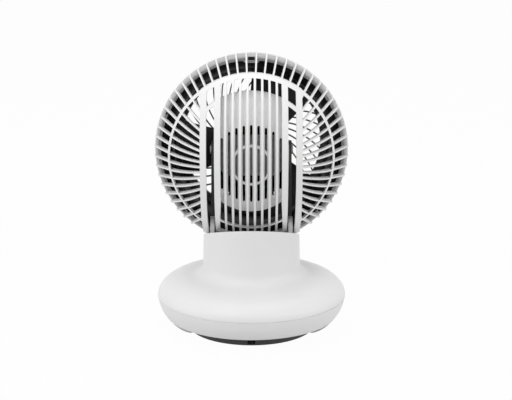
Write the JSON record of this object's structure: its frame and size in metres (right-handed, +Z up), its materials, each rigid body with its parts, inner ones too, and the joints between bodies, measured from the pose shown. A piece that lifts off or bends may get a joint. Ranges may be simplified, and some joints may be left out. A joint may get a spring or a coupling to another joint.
{
  "type": "desk air circulator",
  "caption": "Globe-shaped desk air circulator on a round swivelling base, with a ribbed rear guard, tilting head, impeller and buttons.",
  "frame": {"origin": "on the floor at the centre of the foot, on the swivel axis", "axes": "+Z up, +Y the way the air blows, -Y the pictured back, +X to the right seen from behind"},
  "size_m": [0.26, 0.2536, 0.3685],
  "materials": {
    "white_plastic": "fine satin",
    "button_plastic": "satin",
    "pale_plastic": "satin",
    "black_plastic": "satin",
    "grey_plastic": "satin",
    "foot_plastic": "fine grain",
    "dark_arm": "satin",
    "rubber": "matt",
    "steel": "plain",
    "screw_steel": "zinc plated",
    "gear_plastic": "natural acetal",
    "board": "green laminate",
    "switches": "plain",
    "lens": "frosted",
    "copper": "enamelled winding wire"
  },
  "bodies": {
    "base": {"foot_plate": "foot_plastic", "rubber_feet": "rubber", "supply_jack": "black_plastic", "ballast_ring": "steel", "ballast_screws": "screw_steel", "glide_ring": "gear_plastic", "pan_wheel": "gear_plastic", "wheel_screws": "screw_steel"},
    "turntable": {"lower_shell": "white_plastic", "upper_shell": "white_plastic", "shell_screws": "screw_steel", "pan_motor": "steel", "pan_motor_screws": "screw_steel", "driver_board": "board", "control_board": "board", "touch_switches": "switches", "indicator_lens": "lens", "yoke_plate": "steel", "yoke_screws": "screw_steel", "neck_cap": "white_plastic", "left_arm": "dark_arm", "right_arm": "dark_arm", "left_arm_sleeve": "white_plastic", "right_arm_sleeve": "white_plastic", "left_pivot_bush": "gear_plastic", "right_pivot_bush": "gear_plastic", "tilt_sector": "gear_plastic"},
    "head": {"rear_grille": "white_plastic", "bell_mouth": "pale_plastic", "motor_cover": "white_plastic", "motor_housing": "white_plastic", "left_pivot_pin": "steel", "right_pivot_pin": "steel", "tilt_motor": "steel", "tilt_motor_screws": "screw_steel", "air_duct": "black_plastic", "front_housing": "white_plastic", "front_grille": "grey_plastic", "front_cap": "grey_plastic", "stator_core": "steel", "stator_coils": "copper", "motor_bearings": "steel"},
    "fan": {"impeller": "black_plastic", "fan_rotor": "steel", "hub_nut": "black_plastic"},
    "pan_drive": {"pan_pinion": "gear_plastic"},
    "tilt_drive": {"tilt_pinion": "gear_plastic"},
    "button_1": {"button_1": "button_plastic"},
    "button_2": {"button_2": "button_plastic"},
    "button_3": {"button_3": "button_plastic"},
    "button_4": {"button_4": "button_plastic"}
  },
  "joints": [
    {"name": "swivel", "type": "hinge", "parent": "base", "child": "turntable", "pos_m": [0, 0, 0.013], "axis": [0, 0, 1], "range_deg": [-40, 40]},
    {"name": "swivel_pinion", "type": "hinge", "parent": "turntable", "child": "pan_drive", "pos_m": [0, 0.0375, 0.033], "axis": [0, 0, 1], "range_deg": [-161, 161]},
    {"name": "tilt", "type": "hinge", "parent": "turntable", "child": "head", "pos_m": [0, 0.034, 0.238], "axis": [1, 0, 0], "range_deg": [-5, 85]},
    {"name": "tilt_pinion_turn", "type": "hinge", "parent": "head", "child": "tilt_drive", "pos_m": [0.0475, -0.0035, 0.238], "axis": [1, 0, 0], "range_deg": [-21, 341]},
    {"name": "fan_spin", "type": "hinge", "parent": "head", "child": "fan", "pos_m": [0, 0.034, 0.238], "axis": [0, 1, 0], "continuous": true},
    {"name": "push_1", "type": "slide", "parent": "turntable", "child": "button_1", "axis": [0, 0, 1], "range_m": [-0.0008, 0], "stiffness_N_per_m": 400},
    {"name": "push_2", "type": "slide", "parent": "turntable", "child": "button_2", "axis": [0, 0, 1], "range_m": [-0.0008, 0], "stiffness_N_per_m": 400},
    {"name": "push_3", "type": "slide", "parent": "turntable", "child": "button_3", "axis": [0, 0, 1], "range_m": [-0.0008, 0], "stiffness_N_per_m": 400},
    {"name": "push_4", "type": "slide", "parent": "turntable", "child": "button_4", "axis": [0, 0, 1], "range_m": [-0.0008, 0], "stiffness_N_per_m": 400}
  ],
  "couplings": [
    {"joint": "swivel_pinion", "follows": "swivel", "ratio": 4},
    {"joint": "tilt_pinion_turn", "follows": "tilt", "ratio": 4}
  ]
}
